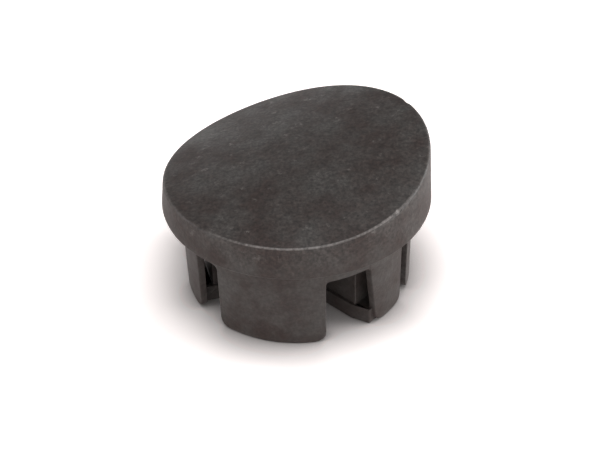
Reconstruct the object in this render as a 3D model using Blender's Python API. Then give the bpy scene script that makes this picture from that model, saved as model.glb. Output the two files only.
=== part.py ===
"""Moulded hole plug whose head follows the curve of the tube that it closes.

Metres, +Z up. The origin is the centre of the plane that the feet stand in,
and the plug's axis is the Z axis. Three stiff legs, one of them wider than
the others, centre the plug in its hole, and a thin snap finger in each bay
between them presses on the hole's edge. A spider of ribs under the head
carries the fingers' feet.
"""
import math

import bmesh
import bpy
from mathutils import Matrix

# Head
HEAD_RADIUS = 0.0090
HEAD_DRAFT = 0.0002                  # radius lost between the underside and the top
CROWN_THICKNESS = 0.00320            # underside to top, at the plug's axis
HEAD_SKIN = 0.0017                   # top to the hollow under it
EDGE_ROUND = 0.0002                  # between the side and the top

# Tube that the top is flush with
TUBE_RADIUS = 0.0346
TUBE_HEADING = math.radians(30.0)    # direction of the tube's axis, seen from above
TUBE_RISE = math.radians(7.15)       # slope of the tube's axis along its heading
CREST_OFFSET = 0.00155               # sideways from the plug's axis to the tube's crest

# Shank
SHANK_LENGTH = 0.00657               # feet to the head's underside
SHANK_RADIUS = 0.00778               # at the underside
SHANK_DRAFT = 0.00004                # radius lost between the underside and the feet
WALL = 0.0012
NECK_LENGTH = 0.00153                # ring under the head that the slots leave whole
LEAD_IN_HEIGHT = 0.0003
LEAD_IN_DEPTH = 0.00006

# Slots on both sides of each snap finger, measured along the bore at the neck
FINGER_COUNT = 3
WIDE_LEG_AZIMUTH = math.radians(18.8)    # middle of the widest leg
NARROW_SLOT = 0.00068                # beside the widest leg
WIDE_SLOT = 0.00243                  # on the other side of the same two fingers
MIDDLE_SLOT = 0.00155                # on both sides of the finger opposite the widest leg
SLOT_CORNER = 0.00028                # radius of a slot's upper corners
LEG_CORNER = 0.00075                 # radius of the legs' and fingers' lower corners

# Snap fingers. One edge is upright, and the other leans towards it
FINGER_THICKNESS = 0.0005
FINGER_WIDTH = 0.0034                # at the neck
FINGER_LEAN = 0.0006                 # width lost between the neck and the feet
WINDOW = 0.0009                      # between a finger's back and the end of its rib

# Spider of ribs, one behind each finger, and the wider foot under each
RIB_SKEW = math.radians(3.3)         # from the rib to the finger's middle
RIB_WIDTH = 0.0025
FOOT_WIDTH = 0.0029
FOOT_HEIGHT = 0.0012
NOSE_PROUD = 0.0004                  # of the foot's nose past the finger's leaning edge

# Fineness of the surfaces
SEGMENTS = 120                       # round the plug's axis
RING_SPACING = 0.0013                # between rings of the top and of the hollow's ceiling
ROUND_STEPS = 4                      # along a quarter round
OVERLAP = 0.0004                     # that joined or cut solids reach past each other
SHARP_ANGLE = math.radians(35.0)     # edges steeper than this stay crisp

MOULDED_GREY = (0.052, 0.046, 0.043, 1.0)
MATT = 0.55

FINGER_STEP = 2.0 * math.pi / FINGER_COUNT
NECK_BOTTOM = SHANK_LENGTH - NECK_LENGTH
BORE_RADIUS = SHANK_RADIUS - WALL
FINGER_BACK = SHANK_RADIUS - FINGER_THICKNESS
RIB_REACH = FINGER_BACK - WINDOW
RIB_ROOT = 0.5 * (RIB_REACH + FINGER_BACK)


def tube_height(x, y):
    """Height of the tube's surface over a point of the plan."""
    along = x * math.cos(TUBE_HEADING) + y * math.sin(TUBE_HEADING)
    across = y * math.cos(TUBE_HEADING) - x * math.sin(TUBE_HEADING)
    bow = math.sqrt(TUBE_RADIUS ** 2 - (across + CREST_OFFSET) ** 2)
    bow_at_axis = math.sqrt(TUBE_RADIUS ** 2 - CREST_OFFSET ** 2)
    drop = (bow_at_axis - bow) / math.cos(TUBE_RISE)
    return SHANK_LENGTH + CROWN_THICKNESS + along * math.tan(TUBE_RISE) - drop


def finger_azimuths():
    """Directions of the fingers' middles. The widest leg stands between the first two."""
    first = WIDE_LEG_AZIMUTH - 0.5 * FINGER_STEP
    return [first + FINGER_STEP * k for k in range(FINGER_COUNT)]


def rib_azimuths():
    return [azimuth - RIB_SKEW for azimuth in finger_azimuths()]


def slot_widths():
    """Widths of the slots on the two sides of each finger, clockwise side first."""
    return [(WIDE_SLOT, NARROW_SLOT), (NARROW_SLOT, WIDE_SLOT), (MIDDLE_SLOT, MIDDLE_SLOT)]


def turned_point(x, y, angle):
    """The point (x, y) after a turn about the Z axis."""
    cos, sin = math.cos(angle), math.sin(angle)
    return x * cos - y * sin, x * sin + y * cos


def new_collection(name):
    collection = bpy.data.collections.new(name)
    bpy.context.scene.collection.children.link(collection)
    return collection


def new_object(name, bm, collection):
    """Makes an object of a bmesh whose faces are first turned to point out."""
    bmesh.ops.recalc_face_normals(bm, faces=bm.faces)
    mesh = bpy.data.meshes.new(name)
    bm.to_mesh(mesh)
    bm.free()
    item = bpy.data.objects.new(name, mesh)
    collection.objects.link(item)
    return item


def new_guide(name, bm, collection):
    """Makes an object that only shapes others, drawn as wire and never rendered."""
    guide = new_object(name, bm, collection)
    guide.display_type = "WIRE"
    guide.hide_render = True
    return guide


def add_boolean(item, operation, other):
    boolean = item.modifiers.new(other.name, "BOOLEAN")
    boolean.operation = operation
    boolean.solver = "EXACT"
    boolean.object = other


def turned(profile):
    """Spins an outline of (radius, height) points round the Z axis."""
    bm = bmesh.new()
    verts = [bm.verts.new((radius, 0.0, z)) for radius, z in profile]
    edges = [bm.edges.new(pair) for pair in zip(verts, verts[1:])]
    bmesh.ops.spin(bm, geom=verts + edges, cent=(0, 0, 0), axis=(0, 0, 1),
                   angle=2.0 * math.pi, steps=SEGMENTS, use_merge=True)
    bmesh.ops.remove_doubles(bm, verts=bm.verts, dist=1e-7)
    return bm


def raise_outline(bm, outline, bottom, top):
    """Adds a prism over a flat outline of (x, y) points.

    Returns its lower points and the upper point over each, in the outline's order.
    """
    lower = [bm.verts.new((x, y, bottom)) for x, y in outline]
    extruded = bmesh.ops.extrude_face_region(bm, geom=[bm.faces.new(lower)])["geom"]
    lid = [item for item in extruded if isinstance(item, bmesh.types.BMFace)][0]
    bmesh.ops.translate(bm, verts=lid.verts, vec=(0, 0, top - bottom))
    neighbours = [[edge.other_vert(vert) for edge in vert.link_edges] for vert in lower]
    upper = [[vert for vert in around if vert not in lower][0] for around in neighbours]
    return lower, upper


def loft(bm, levels):
    """Adds a solid through flat outlines of (x, y, z) points, one over the other.

    Returns the points of its last outline, in the outline's order.
    """
    verts = [bm.verts.new(point) for point in levels[0]]
    base = face = bm.faces.new(verts)
    for level in levels[1:]:
        extruded = bmesh.ops.extrude_face_region(bm, geom=[face])["geom"]
        lid = [item for item in extruded if isinstance(item, bmesh.types.BMFace)][0]
        neighbours = [[edge.other_vert(vert) for edge in vert.link_edges] for vert in verts]
        raised = [[vert for vert in around if vert in lid.verts][0] for around in neighbours]
        for vert, point in zip(raised, level):
            vert.co = point
        if face is not base:
            bm.faces.remove(face)
        verts, face = raised, lid
    return verts


def edge_between(first, second):
    """The edge that joins two points of a bmesh."""
    return [edge for edge in first.link_edges if edge.other_vert(first) is second][0]


def turn_to(bm, verts, azimuth):
    bmesh.ops.rotate(bm, verts=verts, cent=(0, 0, 0), matrix=Matrix.Rotation(azimuth, 3, "Z"))


def radii(first, last):
    """Ring radii from first to last, close enough together to follow the tube."""
    count = max(1, round(abs(last - first) / RING_SPACING))
    return [first + (last - first) * step / count for step in range(count + 1)]


def head_and_shank(collection):
    """Turns the head and the hollow shank as one level blank, then bends it to the tube.

    Everything above the underside moves with the tube's surface, so the side
    stays upright and the skin over the hollow keeps its thickness. The shank
    starts a little under the feet, where the last cut trims it level.
    """
    crown = SHANK_LENGTH + CROWN_THICKNESS
    flat_radius = HEAD_RADIUS - HEAD_DRAFT - EDGE_ROUND
    foot_radius = SHANK_RADIUS - SHANK_DRAFT
    profile = [(radius, crown - HEAD_SKIN) for radius in radii(0.0, BORE_RADIUS)]
    profile.append((BORE_RADIUS, -OVERLAP))
    profile.append((foot_radius - LEAD_IN_DEPTH, -OVERLAP))
    profile.append((foot_radius - LEAD_IN_DEPTH, 0.0))
    profile.append((foot_radius, LEAD_IN_HEIGHT))
    profile.append((SHANK_RADIUS, SHANK_LENGTH))
    profile.append((HEAD_RADIUS, SHANK_LENGTH))
    for step in range(ROUND_STEPS + 1):
        angle = 0.5 * math.pi * step / ROUND_STEPS
        radius = flat_radius + EDGE_ROUND * math.cos(angle)
        profile.append((radius, crown - EDGE_ROUND + EDGE_ROUND * math.sin(angle)))
    profile += [(radius, crown) for radius in radii(flat_radius, 0.0)[1:]]
    bm = turned(profile)
    for vert in bm.verts:
        if vert.co.z > SHANK_LENGTH + 0.1 * CROWN_THICKNESS:
            vert.co.z += tube_height(vert.co.x, vert.co.y) - crown
    bmesh.ops.triangulate(bm, faces=bm.faces)
    return new_object("hole_plug", bm, collection)


def slot_level(height, leg, side):
    """Outline of a slot at one height, in the frame of its finger.

    The first two points are on the stiff leg and the other two on the finger.
    """
    inner = BORE_RADIUS - 0.5 * OVERLAP
    outer = (SHANK_RADIUS + OVERLAP) / math.cos(leg)
    flank = 0.5 * side * FINGER_WIDTH
    if side < 0.0:
        flank += FINGER_LEAN * (NECK_BOTTOM - height) / NECK_BOTTOM
    depth = min(max(LEG_CORNER - height, 0.0), LEG_CORNER)
    flare = LEG_CORNER - math.sqrt(LEG_CORNER ** 2 - depth ** 2)
    flank -= side * flare
    leg += side * flare / SHANK_RADIUS
    return [
        (inner * math.cos(leg), inner * math.sin(leg), height),
        (outer * math.cos(leg), outer * math.sin(leg), height),
        (outer, flank, height),
        (math.sqrt(inner ** 2 - flank ** 2), flank, height),
    ]


def slots(collection):
    """Cuts on both sides of each finger, from the feet up to the neck.

    A slot's one side is radial, along the stiff leg, and its other side is
    the finger's edge. Its upper corners are round, and its mouth flares, which
    rounds the lower corners of the leg and of the finger.
    """
    turns = [0.5 * math.pi * step / ROUND_STEPS for step in range(ROUND_STEPS + 1)]
    heights = [-2.0 * OVERLAP] + [LEG_CORNER * (1.0 - math.cos(turn)) for turn in turns] + [NECK_BOTTOM]
    bm = bmesh.new()
    for azimuth, widths in zip(finger_azimuths(), slot_widths()):
        for side, width in zip((-1.0, 1.0), widths):
            leg = side * (math.asin(0.5 * FINGER_WIDTH / BORE_RADIUS) + width / BORE_RADIUS)
            old = set(bm.verts)
            upper = loft(bm, [slot_level(height, leg, side) for height in heights])
            corners = [edge_between(upper[0], upper[1]), edge_between(upper[2], upper[3])]
            turn_to(bm, [vert for vert in bm.verts if vert not in old], azimuth)
            bmesh.ops.bevel(bm, geom=corners, offset=SLOT_CORNER, segments=ROUND_STEPS, affect="EDGES",
                            profile=0.5, clamp_overlap=True, material=-1)
    bmesh.ops.triangulate(bm, faces=bm.faces)
    return new_guide("slots", bm, collection)


def windows(collection):
    """Cuts behind each finger, from the feet up to the neck.

    They take the wall down to the finger's thickness, and end the rib that
    stands behind the finger a gap short of it.
    """
    core = bmesh.new()
    bmesh.ops.create_cone(core, cap_ends=True, segments=SEGMENTS, radius1=FINGER_BACK,
                          radius2=FINGER_BACK, depth=2.0 * (SHANK_LENGTH + OVERLAP))
    half = FINGER_BACK * math.sin(RIB_SKEW) + 0.5 * FINGER_WIDTH + 1.25 * SLOT_CORNER
    inner = math.sqrt(BORE_RADIUS ** 2 - half ** 2) - OVERLAP
    rib_side = 0.25 * (RIB_WIDTH + FOOT_WIDTH)
    outline = [
        (inner, -half), (SHANK_RADIUS, -half), (SHANK_RADIUS, half), (inner, half),
        (inner, rib_side), (RIB_REACH, rib_side), (RIB_REACH, -rib_side), (inner, -rib_side),
    ]
    bm = bmesh.new()
    for azimuth in rib_azimuths():
        lower, upper = raise_outline(bm, outline, -2.0 * OVERLAP, NECK_BOTTOM)
        turn_to(bm, lower + upper, azimuth)
    cut = new_guide("windows", bm, collection)
    add_boolean(cut, "INTERSECT", new_guide("finger_core", core, collection))
    return cut


def spider_outline(width, reach, tip):
    """Outline of arms that meet at the plug's axis, one behind each finger.

    The tip lists (along, sideways) points that an arm has past its square end.
    """
    half = 0.5 * width
    crotch = half / math.sin(0.5 * FINGER_STEP)
    outline = []
    for azimuth in rib_azimuths():
        arm = [(reach, -half)] + tip + [(reach, half)]
        outline += [turned_point(x, y, azimuth) for x, y in arm]
        outline.append(turned_point(crotch, 0.0, azimuth + 0.5 * FINGER_STEP))
    return outline


def ribs(collection):
    """Spider that stands on the feet and ends inside the head's skin and the neck's wall."""
    bm = bmesh.new()
    outline = spider_outline(RIB_WIDTH, RIB_ROOT, [])
    lower, upper = raise_outline(bm, outline, FOOT_HEIGHT - OVERLAP, SHANK_LENGTH)
    for vert in upper:
        vert.co.z = tube_height(vert.co.x, vert.co.y) - 0.5 * HEAD_SKIN
    bmesh.ops.triangulate(bm, faces=bm.faces)
    return new_guide("ribs", bm, collection)


def feet(collection):
    """Wider foot under each rib, with a nose that runs on into the finger's foot."""
    ledge = 0.5 * (FOOT_WIDTH - RIB_WIDTH)
    nose_reach = FINGER_BACK + 0.25 * FINGER_THICKNESS
    leaning_edge = FINGER_LEAN - 0.5 * FINGER_WIDTH
    nose_edges = [leaning_edge - NOSE_PROUD, 0.5 * FINGER_WIDTH - LEG_CORNER]
    tip = [turned_point(nose_reach, edge, RIB_SKEW) for edge in nose_edges]
    bm = bmesh.new()
    raise_outline(bm, spider_outline(FOOT_WIDTH, RIB_REACH - ledge, tip), -1.5 * OVERLAP, FOOT_HEIGHT)
    return new_guide("feet", bm, collection)


def floor(collection):
    """Slab whose top is the plane that the feet stand in."""
    corner = 1.5 * HEAD_RADIUS
    outline = [(-corner, -corner), (corner, -corner), (corner, corner), (-corner, corner)]
    bm = bmesh.new()
    raise_outline(bm, outline, -3.0 * OVERLAP, 0.0)
    return new_guide("floor", bm, collection)


def moulded_nylon():
    material = bpy.data.materials.new("moulded_nylon")
    material.use_nodes = True
    shader = material.node_tree.nodes["Principled BSDF"]
    shader.inputs["Base Color"].default_value = MOULDED_GREY
    shader.inputs["Roughness"].default_value = MATT
    shader.inputs["Metallic"].default_value = 0.0
    return material


def shade(item):
    """Applies the booleans and shades the round faces smooth between crisp edges."""
    bpy.context.view_layer.update()
    evaluated = item.evaluated_get(bpy.context.evaluated_depsgraph_get())
    mesh = bpy.data.meshes.new_from_object(evaluated)
    item.modifiers.clear()
    item.data = mesh
    mesh.materials.clear()
    mesh.materials.append(moulded_nylon())
    mesh.shade_smooth()
    mesh.set_sharp_from_angle(angle=SHARP_ANGLE)


def main():
    for item in list(bpy.data.objects):
        bpy.data.objects.remove(item, do_unlink=True)
    parts = new_collection("hole_plug")
    guides = new_collection("cutters")
    plug = head_and_shank(parts)
    add_boolean(plug, "DIFFERENCE", slots(guides))
    add_boolean(plug, "UNION", ribs(guides))
    add_boolean(plug, "DIFFERENCE", windows(guides))
    add_boolean(plug, "UNION", feet(guides))
    add_boolean(plug, "DIFFERENCE", floor(guides))
    shade(plug)


main()
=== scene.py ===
"""Looks of a small moulded hole plug that stands on white paper.

Metres, +Z up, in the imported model's own frame: the plug stands on its feet
at the origin and its axis is the Z axis.
"""
import math

import bmesh
import bpy
from mathutils import Matrix, Vector


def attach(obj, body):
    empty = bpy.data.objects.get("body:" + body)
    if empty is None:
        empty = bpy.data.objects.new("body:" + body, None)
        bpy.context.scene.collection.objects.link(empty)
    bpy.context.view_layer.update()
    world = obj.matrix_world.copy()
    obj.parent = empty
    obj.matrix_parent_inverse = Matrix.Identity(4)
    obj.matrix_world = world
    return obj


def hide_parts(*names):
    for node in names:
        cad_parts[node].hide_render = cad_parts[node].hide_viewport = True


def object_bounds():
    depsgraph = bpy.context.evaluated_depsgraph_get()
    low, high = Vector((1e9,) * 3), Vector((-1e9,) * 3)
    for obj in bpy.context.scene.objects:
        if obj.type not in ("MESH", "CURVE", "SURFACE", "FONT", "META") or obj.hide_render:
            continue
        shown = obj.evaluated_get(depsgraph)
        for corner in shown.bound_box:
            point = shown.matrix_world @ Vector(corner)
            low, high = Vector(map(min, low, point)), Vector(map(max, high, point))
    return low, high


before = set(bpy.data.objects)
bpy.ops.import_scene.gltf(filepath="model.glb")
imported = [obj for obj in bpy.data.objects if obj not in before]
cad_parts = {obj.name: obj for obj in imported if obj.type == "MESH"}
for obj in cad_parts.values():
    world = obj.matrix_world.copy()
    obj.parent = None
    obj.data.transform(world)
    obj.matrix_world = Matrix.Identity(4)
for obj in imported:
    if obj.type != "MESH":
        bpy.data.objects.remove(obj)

cad_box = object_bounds()
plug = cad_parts["hole_plug"]
head_radius = cad_box[1][0]

MM = 0.001

# Camera: where it stands and how it points, fitted to the plug's outline in the photograph
CAMERA_PLACE = Vector((0.0, -64.75 * MM, 54.27 * MM))
CAMERA_DOWN = math.radians(37.93)
CAMERA_YAW = math.radians(0.16)
CAMERA_ROLL = math.radians(1.60)
CAMERA_LENS = 72.0
CAMERA_SENSOR = 36.0
NEAREST_SEEN = 1.0 * MM

# Light from the paper that lies all round, and from the room above it
PAPER_LEVEL = 1.65
ROOM_LEVEL = 0.16
PAPER_TOP = 0.10                     # sine of the height where the paper's light starts to fade
ROOM_BOTTOM = 0.42                   # and where only the room's is left
BRIGHT_SIDE = [0.8, -0.6, 0.0]       # direction in which the surroundings are brightest
BRIGHTEST = 2.0                      # times their level in that direction
DIMMEST = 0.9                        # and in the opposite one

# Lamps: name, place, width and watts
SOFTBOXES = [
    ("softbox_above", Vector((0.0, -0.02, 0.38)), 0.26, 0.62),
    ("softbox_right", Vector((0.35, 0.05, 0.07)), 0.24, 1.15),
    ("softbox_left", Vector((-0.35, 0.02, 0.07)), 0.24, 0.42),
    ("softbox_front", Vector((-0.04, -0.40, 0.06)), 0.20, 0.06),
]
LAMP_AIM = Vector((0.0, 0.0, 6.0 * MM))

# Paper under the plug
PAPER_HALF = 0.6
CONTACT_SHADOW = 4.0 * MM            # how far from the plug the painted contact shadow reaches

# Mesh of the plug
SAME_POINT = 0.002 * MM              # corners of the loose triangles closer than this are one
LEVEL = math.radians(0.6)            # facets that turn less than this from each other are one face
MERGED = 0.05 * MM                   # of those faces, corners closer than this are one
CRISP = math.radians(32.0)           # edges that turn more than this get a round
SOFT_EDGE = 0.07 * MM                # width of the round that the mould leaves on a crisp edge
SHADED_SHARP = math.radians(50.0)    # edges that turn more than this aren't shaded smooth
SIDE_INNER = head_radius - 0.3 * MM  # edges further out than this, and taller than the next, are cut
SIDE_HEIGHT = 1.2 * MM
SIDE_CUTS = 5

# Nicks in the rim of the head
BELOW_RIM = 7.5 * MM                 # over the head's underside and under all of its rim
RIM_BAND = 0.5 * MM                  # width of the band along the head's edge that holds the rim
NICK_RADIUS = head_radius - 0.22 * MM
NICKS = [                            # azimuth, width and depth
    (math.radians(-44.2), 0.30 * MM, 0.09 * MM),
    (math.radians(29.0), 0.42 * MM, 0.045 * MM),
]
NICK_REACH = 2.2                     # edges within this many widths of a nick are cut finer
NICK_CUTS = 3
CHIP = [6.19 * MM, -6.02 * MM, 9.33 * MM]    # middle of the first nick's floor

# Finish of the moulded skin: sizes of its patterns, where it is worn, and where the rim gets a painted
# highlight
CLOUD = 3.0 * MM
MOTTLE = 0.36 * MM
GRAIN = 0.2 * MM
SCUFF = 0.9 * MM
PIT_DEPTH = 0.02 * MM
DENT_DEPTH = 0.03 * MM
CHIP_INNER = 0.07 * MM               # palest to this distance from the chip's middle
CHIP_OUTER = 0.18 * MM               # and no longer pale from this one
HIGHLIGHT_AND_POLISH_INNER = head_radius - 0.42 * MM  # the rim's painted highlight and smoother band, between these distances from the axis
HIGHLIGHT_AND_POLISH_OUTER = head_radius - 0.25 * MM
HIGHLIGHT_AND_POLISH_SOFT_INNER = 0.06 * MM           # widths over which it starts and ends
HIGHLIGHT_AND_POLISH_SOFT_OUTER = 0.04 * MM
HIGHLIGHT_AND_POLISH_SIDE = [0.19, -0.98, 0.0]     # direction of the side where the painted highlight is strongest
HIGHLIGHT_AND_POLISH_START = 5.6 * MM                 # distances along that direction where the painted highlight starts and is full
HIGHLIGHT_AND_POLISH_FULL = 7.4 * MM
HANDLED_START = 6.5 * MM             # heights where wear from handling starts and is full
HANDLED_FULL = 8.5 * MM


def linear(colour):
    """A colour written as sRGB hex, as the shader takes it."""
    values = [int(colour[i:i + 2], 16) / 255.0 for i in (1, 3, 5)]
    return [v / 12.92 if v <= 0.04045 else ((v + 0.055) / 1.055) ** 2.4 for v in values] + [1.0]


def add(tree, kind, settings=None, links=None):
    """Adds a node. A setting's name is a socket's or the node's own; a link gives the socket its source.

    The settings are made in the order written, so data_type comes before the
    sockets that it brings.
    """
    node = tree.nodes.new(kind)
    for name, value in (settings or {}).items():
        if isinstance(name, int) or name in node.inputs.keys():
            node.inputs[name].default_value = value
        else:
            setattr(node, name, value)
    for name, source in (links or {}).items():
        tree.links.new(source, node.inputs[name])
    return node


def new_material(name):
    """A material whose nodes are still to be added."""
    material = bpy.data.materials.new(name)
    material.use_nodes = True
    material.node_tree.nodes.clear()
    return material


def link(item):
    bpy.context.scene.collection.objects.link(item)


def rim_highlight_and_polish_mask(tree, place):
    """1 on the round between the head's top and its side, most toward the front, and 0 off that round: where
    the rim gets a painted highlight and a smoother finish.
    """
    axes = add(tree, "ShaderNodeSeparateXYZ", {}, {"Vector": place})
    plan = add(tree, "ShaderNodeCombineXYZ", {}, {"X": axes.outputs["X"], "Y": axes.outputs["Y"]})
    reach = add(tree, "ShaderNodeVectorMath", {"operation": "LENGTH"}, {"Vector": plan.outputs["Vector"]})
    inside = add(tree, "ShaderNodeMapRange",
                 {"From Min": HIGHLIGHT_AND_POLISH_INNER, "From Max": HIGHLIGHT_AND_POLISH_INNER + HIGHLIGHT_AND_POLISH_SOFT_INNER},
                 {"Value": reach.outputs["Value"]})
    outside = add(tree, "ShaderNodeMapRange",
                  {"From Min": HIGHLIGHT_AND_POLISH_OUTER, "From Max": HIGHLIGHT_AND_POLISH_OUTER - HIGHLIGHT_AND_POLISH_SOFT_OUTER},
                  {"Value": reach.outputs["Value"]})
    above = add(tree, "ShaderNodeMath", {"operation": "GREATER_THAN", 1: BELOW_RIM}, {0: axes.outputs["Z"]})
    forward = add(tree, "ShaderNodeVectorMath", {"operation": "DOT_PRODUCT", 1: HIGHLIGHT_AND_POLISH_SIDE}, {0: place})
    toward_highlight_side = add(tree, "ShaderNodeMapRange", {"From Min": HIGHLIGHT_AND_POLISH_START, "From Max": HIGHLIGHT_AND_POLISH_FULL, "To Min": 0.15},
                 {"Value": forward.outputs["Value"]})
    band = add(tree, "ShaderNodeMath", {"operation": "MULTIPLY"},
               {0: inside.outputs["Result"], 1: outside.outputs["Result"]})
    ring = add(tree, "ShaderNodeMath", {"operation": "MULTIPLY"},
               {0: band.outputs["Value"], 1: toward_highlight_side.outputs["Result"]})
    rim = add(tree, "ShaderNodeMath", {"operation": "MULTIPLY"},
              {0: ring.outputs["Value"], 1: above.outputs["Value"]})
    return rim.outputs["Value"]


def unworn_skin(tree, cloud, mottle, grain, handled):
    """Clouds of a warm and a cooler grey, with a mottle and pores that stand out less below the head."""
    patches = add(tree, "ShaderNodeMapRange", {"From Min": 0.36, "From Max": 0.64}, {"Value": cloud})
    greys = add(tree, "ShaderNodeMix",
                {"data_type": "RGBA", "A": linear("#2E2421"), "B": linear("#3E3B39")},
                {"Factor": patches.outputs["Result"]})
    fine = add(tree, "ShaderNodeMapRange",
               {"From Min": 0.30, "From Max": 0.72, "To Min": 0.68, "To Max": 1.38},
               {"Value": mottle})
    pores = add(tree, "ShaderNodeMapRange",
                {"From Min": 0.32, "From Max": 0.68, "To Min": 0.62, "To Max": 1.42},
                {"Value": grain})
    uneven = add(tree, "ShaderNodeMath", {"operation": "MULTIPLY"},
                 {0: fine.outputs["Result"], 1: pores.outputs["Result"]})
    contrast = add(tree, "ShaderNodeMapRange", {"To Min": 0.5, "To Max": 1.0}, {"Value": handled})
    shade = add(tree, "ShaderNodeMix", {"data_type": "FLOAT", "A": 1.0},
                {"Factor": contrast.outputs["Result"], "B": uneven.outputs["Value"]})
    mottled = add(tree, "ShaderNodeVectorMath", {"operation": "SCALE"},
                  {"Vector": greys.outputs["Result"], "Scale": shade.outputs["Result"]})
    return mottled.outputs["Vector"]


def scuffed_skin(tree, place, skin, handled):
    """The skin with pale specks on the part of the plug that hands touch."""
    scuff = add(tree, "ShaderNodeTexNoise", {"Scale": 1.0 / SCUFF, "Detail": 5.0, "Roughness": 0.75},
                {"Vector": place})
    speck = add(tree, "ShaderNodeMapRange",
                {"From Min": 0.61, "From Max": 0.71, "To Min": 0.0, "To Max": 0.55},
                {"Value": scuff.outputs["Fac"]})
    amount = add(tree, "ShaderNodeMath", {"operation": "MULTIPLY"}, {0: speck.outputs["Result"], 1: handled})
    specked = add(tree, "ShaderNodeMix", {"data_type": "RGBA", "B": linear("#77716E")},
                  {"Factor": amount.outputs["Value"], "A": skin})
    return specked.outputs["Result"]


def worn_and_highlit_skin(tree, place, skin, mottle, rim_highlight_and_polish):
    """The skin with pale plastic where the chip is, and a painted highlight in a pale colour along the front
    of the rim, broken up by the mottle.
    """
    # painted highlight along the rim, broken up by the mottle
    highlight_breakup = add(tree, "ShaderNodeMapRange",
               {"From Min": 0.30, "From Max": 0.70, "To Min": 0.05, "To Max": 0.50},
               {"Value": mottle})
    edge = add(tree, "ShaderNodeMath", {"operation": "MULTIPLY"}, {0: rim_highlight_and_polish, 1: highlight_breakup.outputs["Result"]})
    from_chip = add(tree, "ShaderNodeVectorMath", {"operation": "DISTANCE", 1: CHIP}, {0: place})
    broken = add(tree, "ShaderNodeMapRange",
                 {"From Min": CHIP_INNER, "From Max": CHIP_OUTER, "To Min": 0.5, "To Max": 0.0},
                 {"Value": from_chip.outputs["Value"]})
    pale = add(tree, "ShaderNodeMath", {"operation": "MAXIMUM"},
               {0: edge.outputs["Value"], 1: broken.outputs["Result"]})
    # A8A29F is both the pale plastic of the chip and the painted highlight on the rim
    worn_and_highlit = add(tree, "ShaderNodeMix", {"data_type": "RGBA", "B": linear("#A8A29F")},
               {"Factor": pale.outputs["Value"], "A": skin})
    return worn_and_highlit.outputs["Result"]


def moulded_nylon():
    """Glass-filled nylon, moulded in a spark-eroded mould.

    The eye sees a dark, slightly warm grey, matt and finely grained, clouded
    where glass fibre comes near the skin, with pale scuffs on the head, and a
    painted highlight in a paler colour along the front of the rim, which is also
    smoother there.
    The grain of the real mould, about 0.05 mm, is too fine to show, so it is
    drawn as coarse as 0.2 mm.
    """
    material = new_material("moulded_nylon")
    tree = material.node_tree
    place = add(tree, "ShaderNodeTexCoord").outputs["Object"]
    cloud = add(tree, "ShaderNodeTexNoise", {"Scale": 1.0 / CLOUD, "Detail": 4.0, "Roughness": 0.62},
                {"Vector": place}).outputs["Fac"]
    mottle = add(tree, "ShaderNodeTexNoise", {"Scale": 1.0 / MOTTLE, "Detail": 3.0, "Roughness": 0.7},
                 {"Vector": place}).outputs["Fac"]
    grain = add(tree, "ShaderNodeTexNoise", {"Scale": 1.0 / GRAIN, "Detail": 2.0, "Roughness": 0.6},
                {"Vector": place}).outputs["Fac"]
    axes = add(tree, "ShaderNodeSeparateXYZ", {}, {"Vector": place})
    handled = add(tree, "ShaderNodeMapRange", {"From Min": HANDLED_START, "From Max": HANDLED_FULL},
                  {"Value": axes.outputs["Z"]}).outputs["Result"]
    # mask of the rim's painted highlight and of its smoother finish
    rim_highlight_and_polish = rim_highlight_and_polish_mask(tree, place)

    skin = unworn_skin(tree, cloud, mottle, grain, handled)
    skin = scuffed_skin(tree, place, skin, handled)
    skin = worn_and_highlit_skin(tree, place, skin, mottle, rim_highlight_and_polish)
    matt = add(tree, "ShaderNodeMapRange",
               {"From Min": 0.30, "From Max": 0.70, "To Min": 0.55, "To Max": 0.45},
               {"Value": cloud})
    smoother = add(tree, "ShaderNodeMapRange", {"To Min": 0.0, "To Max": -0.16}, {"Value": rim_highlight_and_polish})
    rough = add(tree, "ShaderNodeMath", {"operation": "ADD"},
                {0: matt.outputs["Result"], 1: smoother.outputs["Result"]})
    pits = add(tree, "ShaderNodeBump", {"Strength": 0.6, "Distance": PIT_DEPTH}, {"Height": grain})
    dents = add(tree, "ShaderNodeBump", {"Strength": 0.5, "Distance": DENT_DEPTH},
                {"Height": mottle, "Normal": pits.outputs["Normal"]})
    shader = add(tree, "ShaderNodeBsdfPrincipled", {"IOR": 1.5, "Specular IOR Level": 0.36},
                 {"Base Color": skin, "Roughness": rough.outputs["Value"],
                  "Normal": dents.outputs["Normal"]})
    add(tree, "ShaderNodeOutputMaterial", {}, {"Surface": shader.outputs["BSDF"]})
    return material


def from_axis(vert):
    return math.hypot(vert.co.x, vert.co.y)


def press_nick(bm, azimuth, width, depth):
    """Presses a small dent into the rim of the head."""
    outward = Vector((math.cos(azimuth), math.sin(azimuth), 0.0))
    middle = NICK_RADIUS * outward
    rim = [vert for vert in bm.verts if vert.co.z > BELOW_RIM and from_axis(vert) > head_radius - RIM_BAND]
    middle.z = max(vert.co.z for vert in rim if (vert.co.xy - middle.xy).length < RIM_BAND)
    near = [edge for edge in bm.edges
            if all((vert.co - middle).length < NICK_REACH * width for vert in edge.verts)]
    bmesh.ops.subdivide_edges(bm, edges=near, cuts=NICK_CUTS, use_grid_fill=True)
    for vert in bm.verts:
        far = (vert.co - middle).length / width
        if far < 1.0 and vert.co.z > BELOW_RIM:
            push = depth * (1.0 - far * far) ** 2
            vert.co -= push * (outward + Vector((0.0, 0.0, 1.0)))


def side_edges(bm):
    """The long upright edges of the head's side."""
    tall = [edge for edge in bm.edges if abs(edge.verts[0].co.z - edge.verts[1].co.z) > SIDE_HEIGHT]
    return [edge for edge in tall if all(from_axis(vert) > SIDE_INNER for vert in edge.verts)]


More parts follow.
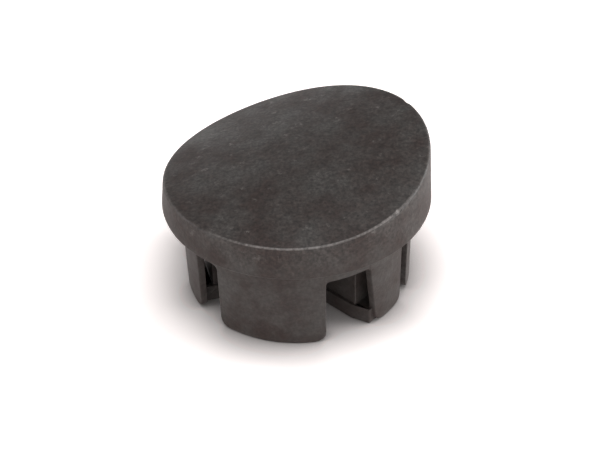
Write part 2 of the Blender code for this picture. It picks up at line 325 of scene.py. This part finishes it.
def moulded_plug():
    """The plug, with the small rounds that its mould leaves and the nicks in its rim.

    The rounds reach a hair under the feet, so the feet are brought back level
    with the paper.
    """
    bm = bmesh.new()
    bm.from_mesh(plug.data)
    bmesh.ops.remove_doubles(bm, verts=bm.verts, dist=SAME_POINT)
    bmesh.ops.dissolve_limit(bm, angle_limit=LEVEL, verts=bm.verts, edges=bm.edges)
    bmesh.ops.remove_doubles(bm, verts=bm.verts, dist=MERGED)
    bmesh.ops.subdivide_edges(bm, edges=side_edges(bm), cuts=SIDE_CUTS, use_grid_fill=True)
    crisp = [edge for edge in bm.edges if edge.calc_face_angle(0.0) > CRISP]
    bmesh.ops.bevel(bm, geom=crisp, offset=SOFT_EDGE, offset_type="OFFSET", segments=2, affect="EDGES",
                    profile=0.5, clamp_overlap=False, material=-1)
    for azimuth, width, depth in NICKS:
        press_nick(bm, azimuth, width, depth)
    for vert in bm.verts:
        vert.co.z = max(vert.co.z, 0.0)
    bmesh.ops.recalc_face_normals(bm, faces=bm.faces)
    mesh = bpy.data.meshes.new("moulded_plug")
    bm.to_mesh(mesh)
    bm.free()
    mesh.shade_smooth()
    mesh.set_sharp_from_angle(angle=SHADED_SHARP)
    mesh.materials.append(moulded_nylon())
    piece = bpy.data.objects.new("moulded_plug", mesh)
    link(piece)
    weighted = piece.modifiers.new("flat_faces", "WEIGHTED_NORMAL")
    weighted.keep_sharp = True
    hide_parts("hole_plug")
    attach(piece, "root")


def white_paper():
    """Matt white paper.

    What the camera sees of it is lighter, so that it is white where no shadow falls, and
    it carries a painted contact shadow, darkened by ambient occlusion close to the plug. What lights the
    plug is plain paper.
    """
    material = new_material("white_paper")
    tree = material.node_tree
    ray = add(tree, "ShaderNodeLightPath")
    lit = add(tree, "ShaderNodeBsdfDiffuse", {"Color": linear("#FBF3F1")})
    # painted contact shadow: ambient occlusion darkens the colour that the camera sees near the plug
    near = add(tree, "ShaderNodeAmbientOcclusion", {"Distance": CONTACT_SHADOW, "samples": 16})
    painted_contact_shadow = add(tree, "ShaderNodeMapRange", {"From Min": 0.40, "From Max": 1.0, "To Min": 0.28, "To Max": 1.0},
              {"Value": near.outputs["AO"]})
    lighter = add(tree, "ShaderNodeVectorMath", {"operation": "SCALE", "Vector": [1.55, 1.46, 1.44]},
                  {"Scale": painted_contact_shadow.outputs["Result"]})
    seen = add(tree, "ShaderNodeBsdfDiffuse", {}, {"Color": lighter.outputs["Vector"]})
    mix = add(tree, "ShaderNodeMixShader", {},
              {"Fac": ray.outputs["Is Camera Ray"], 1: lit.outputs["BSDF"], 2: seen.outputs["BSDF"]})
    add(tree, "ShaderNodeOutputMaterial", {}, {"Surface": mix.outputs["Shader"]})
    return material


def table():
    """The paper on the table, level with the plug's feet."""
    bm = bmesh.new()
    bmesh.ops.create_grid(bm, x_segments=1, y_segments=1, size=PAPER_HALF)
    mesh = bpy.data.meshes.new("table")
    bm.to_mesh(mesh)
    bm.free()
    mesh.materials.append(white_paper())
    item = bpy.data.objects.new("table", mesh)
    link(item)


def studio():
    """White paper up to a low height all round and a dim room over it; the camera sees plain white."""
    world = bpy.data.worlds.new("studio")
    world.use_nodes = True
    tree = world.node_tree
    tree.nodes.clear()
    ray = add(tree, "ShaderNodeLightPath")
    direction = add(tree, "ShaderNodeTexCoord").outputs["Generated"]
    axes = add(tree, "ShaderNodeSeparateXYZ", {}, {"Vector": direction})
    level = add(tree, "ShaderNodeMapRange",
                {"From Min": PAPER_TOP, "From Max": ROOM_BOTTOM,
                 "To Min": PAPER_LEVEL, "To Max": ROOM_LEVEL},
                {"Value": axes.outputs["Z"]})
    toward = add(tree, "ShaderNodeVectorMath", {"operation": "DOT_PRODUCT", 1: BRIGHT_SIDE}, {0: direction})
    side = add(tree, "ShaderNodeMapRange",
               {"From Min": -1.0, "From Max": 1.0, "To Min": DIMMEST, "To Max": BRIGHTEST},
               {"Value": toward.outputs["Value"]})
    strength = add(tree, "ShaderNodeMath", {"operation": "MULTIPLY"},
                   {0: level.outputs["Result"], 1: side.outputs["Result"]})
    lit = add(tree, "ShaderNodeBackground", {"Color": linear("#FFFFFF")},
              {"Strength": strength.outputs["Value"]})
    seen = add(tree, "ShaderNodeBackground", {"Color": linear("#FFFFFF"), "Strength": 1.0})
    mix = add(tree, "ShaderNodeMixShader", {},
              {"Fac": ray.outputs["Is Camera Ray"],
               1: lit.outputs["Background"], 2: seen.outputs["Background"]})
    add(tree, "ShaderNodeOutputWorld", {}, {"Surface": mix.outputs["Shader"]})
    bpy.context.scene.world = world


def softbox(name, place, width, watts):
    """A square lamp that faces the plug."""
    lamp = bpy.data.lights.new(name, "AREA")
    lamp.shape = "SQUARE"
    lamp.size = width
    lamp.energy = watts
    item = bpy.data.objects.new(name, lamp)
    item.location = place
    item.rotation_euler = (LAMP_AIM - place).to_track_quat("-Z", "Y").to_euler()
    link(item)


def camera():
    """The photograph's viewpoint."""
    data = bpy.data.cameras.new("camera")
    data.lens = CAMERA_LENS
    data.sensor_width = CAMERA_SENSOR
    data.clip_start = NEAREST_SEEN
    item = bpy.data.objects.new("camera", data)
    turn = (Matrix.Rotation(-CAMERA_YAW, 4, "Z")
            @ Matrix.Rotation(0.5 * math.pi - CAMERA_DOWN, 4, "X")
            @ Matrix.Rotation(-CAMERA_ROLL, 4, "Z"))
    item.matrix_world = Matrix.Translation(CAMERA_PLACE) @ turn
    link(item)
    bpy.context.scene.camera = item


moulded_plug()
table()
studio()
for name, place, width, watts in SOFTBOXES:
    softbox(name, place, width, watts)
camera()
bpy.context.scene.view_settings.view_transform = "Standard"
